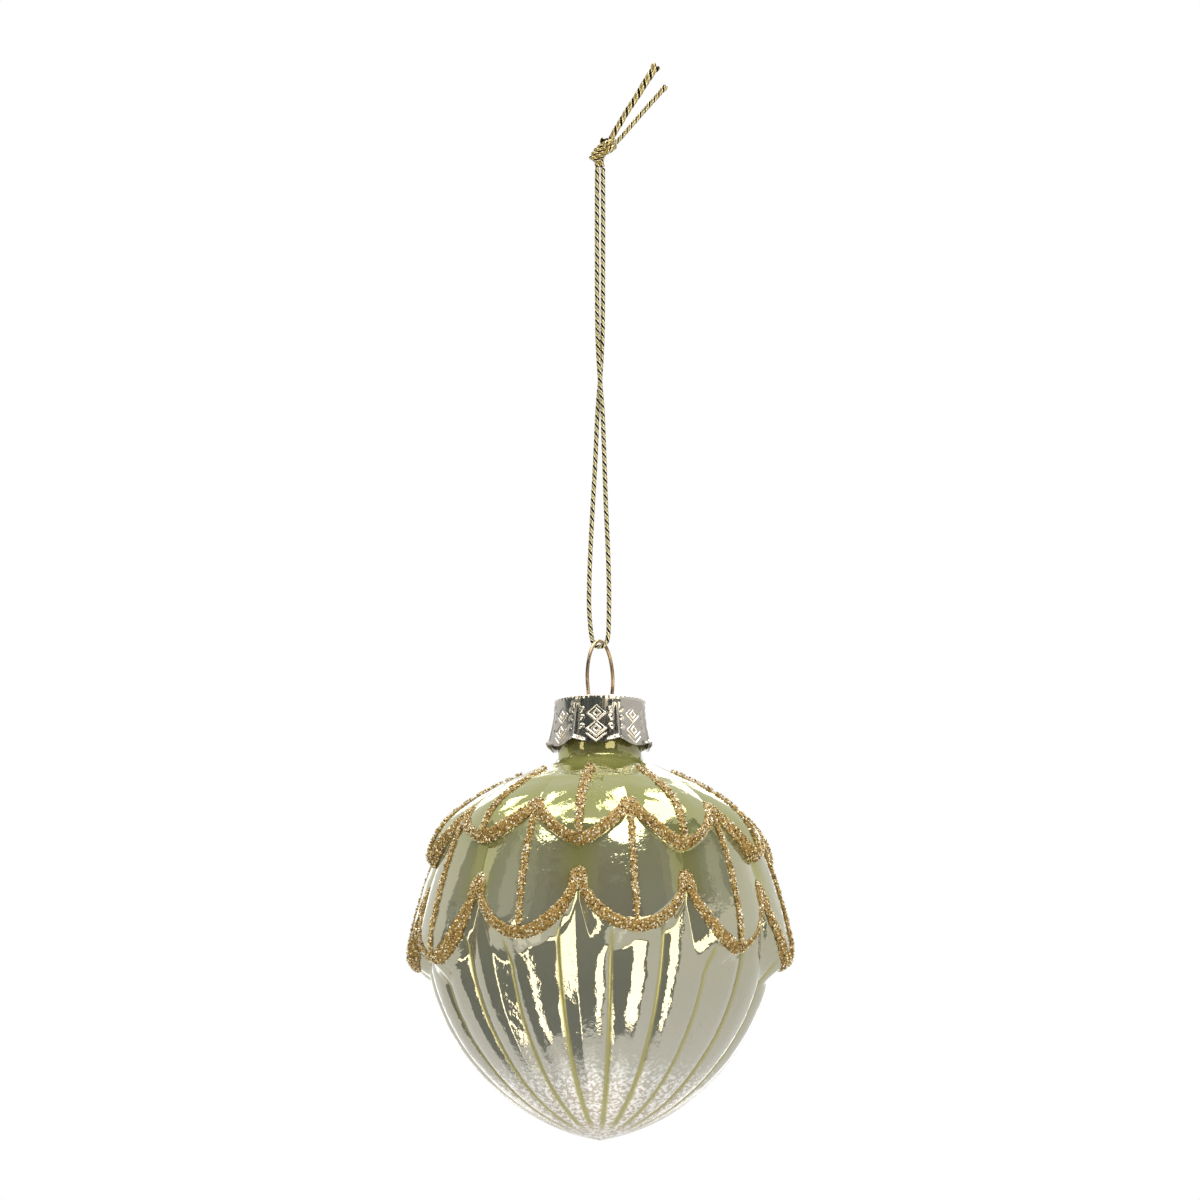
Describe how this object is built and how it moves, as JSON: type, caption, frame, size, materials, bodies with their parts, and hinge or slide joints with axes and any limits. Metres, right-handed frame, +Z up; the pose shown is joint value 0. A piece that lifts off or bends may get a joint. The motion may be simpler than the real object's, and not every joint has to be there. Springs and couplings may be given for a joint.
{
  "type": "glass pine cone ornament",
  "caption": "Hanging glass ornament shaped like a pine cone, with scalloped petal tiers, fluted cone, glitter lines, metal cap, wire hanger and cord loop.",
  "frame": {"origin": "hang point: where the cord loop hangs from a hook, just under its knot", "axes": "+Z up along the cord and the ornament's axis, -Y towards the front of the ornament, +X to the right seen from the front"},
  "size_m": [0.0802, 0.0793, 0.2247],
  "materials": {
    "silvered_glass": "blown glass, silvered inside, olive green lacquer above fading to bare silver at the tip",
    "gold_glitter": "coarse gold glitter in clear glue",
    "stamped_cap": "thin stamped metal with embossed diamonds, bright",
    "hanger_wire": "drawn brass coated spring wire",
    "metallic_cord": "gold metallic twisted cord"
  },
  "bodies": {
    "cord": {"cord_loop": "metallic_cord", "cord_knot": "metallic_cord", "cord_tail_long": "metallic_cord", "cord_tail_short": "metallic_cord"},
    "hanger": {"hanger_wire": "hanger_wire"},
    "cap": {"cap": "stamped_cap"},
    "glass": {"glass_body": "silvered_glass", "upper_glitter_band": "gold_glitter", "lower_glitter_band": "gold_glitter", "upper_glitter_vein_1": "gold_glitter", "upper_glitter_vein_2": "gold_glitter", "upper_glitter_vein_3": "gold_glitter", "upper_glitter_vein_4": "gold_glitter", "upper_glitter_vein_5": "gold_glitter", "upper_glitter_vein_6": "gold_glitter", "upper_glitter_vein_7": "gold_glitter", "upper_glitter_vein_8": "gold_glitter", "upper_glitter_vein_9": "gold_glitter", "upper_glitter_vein_10": "gold_glitter", "lower_glitter_vein_1": "gold_glitter", "lower_glitter_vein_2": "gold_glitter", "lower_glitter_vein_3": "gold_glitter", "lower_glitter_vein_4": "gold_glitter", "lower_glitter_vein_5": "gold_glitter", "lower_glitter_vein_6": "gold_glitter", "lower_glitter_vein_7": "gold_glitter", "lower_glitter_vein_8": "gold_glitter", "lower_glitter_vein_9": "gold_glitter", "lower_glitter_vein_10": "gold_glitter"}
  },
  "joints": [
    {"name": "hanger_swing", "type": "hinge", "parent": "cord", "child": "hanger", "pos_m": [0, 0, -0.09932], "axis": [0.5878, 0.809, 0], "range_deg": [-60, 60]},
    {"name": "cap_lift", "type": "slide", "parent": "hanger", "child": "cap", "axis": [0, 0, 1], "range_m": [0, 0.002]},
    {"name": "glass_pull", "type": "slide", "parent": "hanger", "child": "glass", "axis": [0, 0, -1], "range_m": [0, 0.013]}
  ]
}
